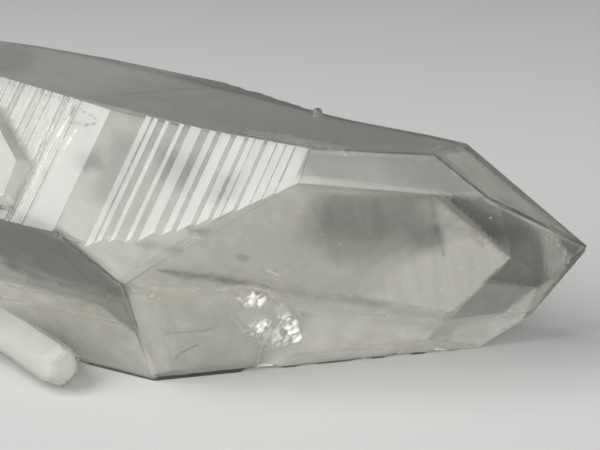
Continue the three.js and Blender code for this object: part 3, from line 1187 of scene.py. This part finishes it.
class QUARTZ_OT_specks(bpy.types.Operator):
    """Scatter tiny bubbles under the front face"""

    bl_idname = "quartz.specks"
    bl_label = "Specks"

    def execute(self, context):
        settings = context.scene.quartz_inclusions
        draw = random.Random(SPECK_SEED)
        matrix = face_matrix("front_termination")
        places = [(x, y, KNOWN_DEPTH, 1.0) for x, y in KNOWN_SPECKS]
        for _ in range(settings.specks - len(KNOWN_SPECKS)):
            x, y = draw.uniform(*SPECK_ALONG), draw.uniform(*SPECK_ACROSS)
            depth, share = draw.uniform(*SPECK_DEPTH), draw.uniform(*SPECK_SHARE)
            away = (abs(x - DIAMOND_AT[0]), abs(y - DIAMOND_AT[1]))
            if away[0] / DIAMOND_HALF[0] + away[1] / DIAMOND_HALF[1] <= 1.0:
                places.append((x, y, depth, share))
        bubbles = []
        for x, y, depth, share in places:
            bpy.ops.mesh.primitive_ico_sphere_add(
                subdivisions=2,
                radius=settings.speck_size / 2 * share,
                location=matrix @ (Vector((x, y, -depth)) * MM),
            )
            bpy.ops.object.transform_apply(location=True)
            bubbles.append(bpy.context.object)
        # To the eye: a pinpoint of white light in the clear quartz.
        material = plain_material("Bubble skin in quartz", settings.crack_colour, 0.3)
        settle(join(bubbles), "specks", material)
        return {"FINISHED"}


# The stage

# Place of the camera from the heart in millimetres, the ways that it looks and that are up for it,
# its lens and its range.
CAMERA_AT = Vector((62.74, -107.4, 37.8))
CAMERA_LOOK = Vector((-0.48262, 0.82616, -0.29075))
CAMERA_UP = Vector((-0.10086, 0.27734, 0.95546))
CAMERA_LENS = 78.03
CAMERA_RANGE = (0.005, 10.0)

# Weak, slightly blue light from all round, as linear colour and strength.
SKY_COLOUR = (0.5, 0.52, 0.55)
SKY_STRENGTH = 0.3

# Soft boxes: direction from the crystal, distance, width, height, watts.
SOFT_BOXES = {
    "key_box": ((-0.50, -0.55, 0.67), 0.8, 0.68, 0.68, 9.0),
    "tip_box": ((0.72, -0.62, 0.30), 0.8, 1.0, 0.9, 9.8),
    "back_box": ((-0.3, 0.85, 0.5), 0.9, 0.9, 0.35, 0.15),
}


class QUARTZ_OT_stage(bpy.types.Operator):
    """Set the plain floor, the soft light and the camera"""

    bl_idname = "quartz.stage"
    bl_label = "Stage"

    def execute(self, context):
        settings = context.scene.quartz_stage
        bpy.ops.mesh.primitive_plane_add(size=settings.floor_size, location=(0, 0, LOW.z))
        floor = context.object
        floor.name = "floor"
        bpy.ops.object.transform_apply(location=True)
        # To the eye: an even pale ground with no shine, on which the shadow is soft.
        floor.data.materials.append(plain_material("Matt pale card", settings.floor_colour, 0.75))

        world = context.scene.world or bpy.data.worlds.new("Studio")
        context.scene.world = world
        world.use_nodes = True
        world.node_tree.nodes.clear()
        light = add_node(
            world.node_tree, "Background", {"Color": rgba(SKY_COLOUR), "Strength": SKY_STRENGTH}
        )
        add_node(world.node_tree, "OutputWorld", {"Surface": light.outputs[0]})

        for name, (towards, distance, width, height, watts) in SOFT_BOXES.items():
            direction = Vector(towards).normalized()
            bpy.ops.object.light_add(type="AREA")
            box = context.object
            box.name = name
            box.data.shape = "RECTANGLE"
            box.data.size, box.data.size_y = width, height
            box.data.energy = watts * settings.light
            box.rotation_mode = "QUATERNION"
            box.rotation_quaternion = direction.to_track_quat("Z", "Y")
            box.location = HEART + direction * distance

        bpy.ops.object.camera_add()
        camera = context.object
        camera.name = "camera"
        side = CAMERA_LOOK.cross(CAMERA_UP)
        matrix = Matrix((side, CAMERA_UP, -CAMERA_LOOK)).transposed().to_4x4()
        matrix.translation = HEART + CAMERA_AT * MM
        camera.matrix_world = matrix
        camera.data.lens = CAMERA_LENS
        camera.data.clip_start, camera.data.clip_end = CAMERA_RANGE
        context.scene.camera = camera
        context.scene.view_settings.view_transform = "Standard"
        return {"FINISHED"}


class QUARTZ_PT_panel(bpy.types.Panel):
    bl_label = "Phantom Quartz"
    bl_idname = "QUARTZ_PT_panel"
    bl_space_type = "VIEW_3D"
    bl_region_type = "UI"
    bl_category = "Quartz"

    def draw(self, context):
        layout = self.layout
        for group in GROUPS:
            settings = getattr(context.scene, group)
            for name in settings.__annotations__:
                layout.prop(settings, name)
        for operator in OPERATORS:
            layout.operator(operator.bl_idname)


GROUPS = {
    "quartz_body": QuartzBodySettings,
    "quartz_phantom": QuartzPhantomSettings,
    "quartz_inclusions": QuartzInclusionSettings,
    "quartz_stage": QuartzStageSettings,
}
OPERATORS = (
    QUARTZ_OT_point,
    QUARTZ_OT_phantom,
    QUARTZ_OT_smoke,
    QUARTZ_OT_streaks,
    QUARTZ_OT_cracks,
    QUARTZ_OT_specks,
    QUARTZ_OT_stage,
)
CLASSES = (*GROUPS.values(), *OPERATORS, QUARTZ_PT_panel)


def register():
    for cls in CLASSES:
        bpy.utils.register_class(cls)
    for group, cls in GROUPS.items():
        setattr(bpy.types.Scene, group, PointerProperty(type=cls))


def unregister():
    for group in GROUPS:
        delattr(bpy.types.Scene, group)
    for cls in reversed(CLASSES):
        bpy.utils.unregister_class(cls)


def main():
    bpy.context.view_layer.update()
    register()
    bpy.ops.quartz.point()
    bpy.ops.quartz.phantom()
    bpy.ops.quartz.smoke()
    bpy.ops.quartz.streaks()
    bpy.ops.quartz.cracks()
    bpy.ops.quartz.specks()
    bpy.ops.quartz.stage()
    bpy.context.view_layer.update()


if __name__ == "__main__":
    main()
